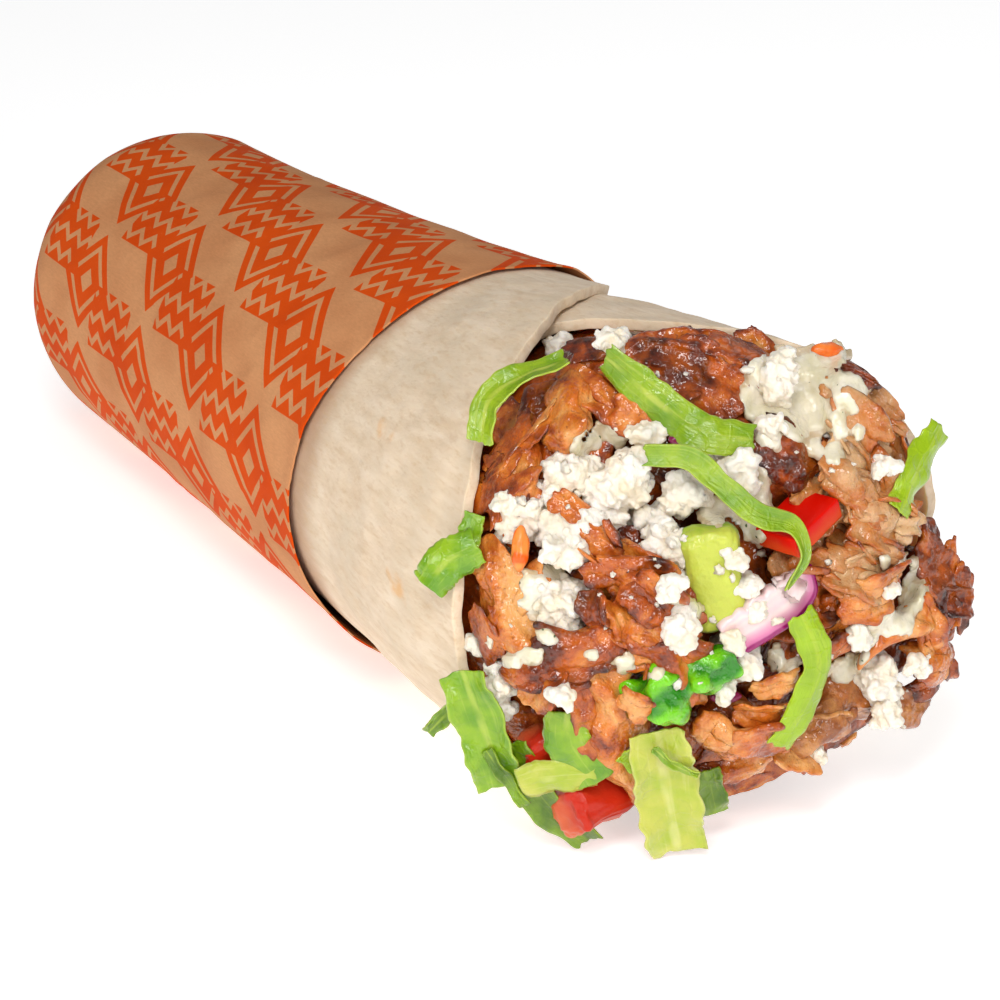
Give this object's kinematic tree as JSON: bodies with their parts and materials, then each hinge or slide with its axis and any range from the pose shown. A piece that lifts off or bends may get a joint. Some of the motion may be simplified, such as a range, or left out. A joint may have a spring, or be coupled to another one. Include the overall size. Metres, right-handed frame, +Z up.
{
  "type": "kebab wrap in flatbread",
  "caption": "Rolled flatbread wrap lying on its side in a printed kraft paper sleeve, its open mouth heaped with shaved meat, crumbled cheese, lettuce, tomato and sauce.",
  "frame": {"origin": "middle of the underside, on the surface that the wrap lies on", "axes": "+X along the roll towards its open mouth, +Z up, +Y to the side where the bread's outer edge lies"},
  "size_m": [0.2358, 0.086, 0.0831],
  "materials": {
    "kraft_paper": "matt brown wrapping paper with an orange print",
    "flatbread": "soft floury bread with faint toasted spots",
    "filling": "packed mixed filling, mostly meat",
    "meat": "browned, moist and greasy",
    "pale_meat": "pinkish grey inside of the meat, moist",
    "cheese": "crumbly white cheese",
    "lettuce": "crisp bright green leaf",
    "pale_lettuce": "pale rib of the leaf",
    "pepper": "wet cooked green pepper",
    "avocado": "soft pale green wedge",
    "tomato": "wet red flesh and skin",
    "onion": "pale pink flesh with a purple skin edge",
    "carrot": "raw orange shred",
    "sauce": "glossy pale yoghurt sauce with herbs"
  },
  "bodies": {
    "root": {"kraft_paper": "kraft_paper", "flatbread": "flatbread", "filling_core": "filling", "lettuce_01": "lettuce", "lettuce_02": "lettuce", "lettuce_03": "lettuce", "lettuce_04": "pale_lettuce", "lettuce_05": "lettuce", "lettuce_06": "lettuce", "lettuce_07": "lettuce", "lettuce_08": "lettuce", "lettuce_09": "lettuce", "lettuce_10": "pale_lettuce", "lettuce_11": "lettuce", "pepper": "pepper", "onion_01": "onion", "carrot_01": "carrot", "tomato_01": "tomato", "tomato_02": "tomato", "tomato_03": "tomato", "avocado": "avocado", "sauce_01": "sauce", "sauce_02": "sauce", "sauce_03": "sauce", "cheese_01": "cheese", "cheese_02": "cheese", "cheese_03": "cheese", "cheese_04": "cheese", "cheese_05": "cheese", "cheese_06": "cheese", "cheese_07": "cheese", "cheese_08": "cheese", "cheese_09": "cheese", "cheese_10": "cheese", "cheese_11": "cheese", "cheese_12": "cheese", "cheese_13": "cheese", "cheese_14": "cheese", "meat_01": "meat", "meat_02": "meat", "meat_03": "meat", "meat_04": "meat", "meat_05": "meat", "meat_06": "meat", "meat_07": "pale_meat", "meat_08": "pale_meat", "meat_09": "pale_meat", "meat_10": "meat", "meat_11": "meat", "meat_12": "meat", "meat_13": "meat", "meat_14": "meat", "meat_15": "meat", "meat_16": "meat", "meat_17": "meat", "meat_18": "meat", "meat_19": "meat", "meat_20": "meat", "meat_21": "meat"}
  },
  "joints": []
}
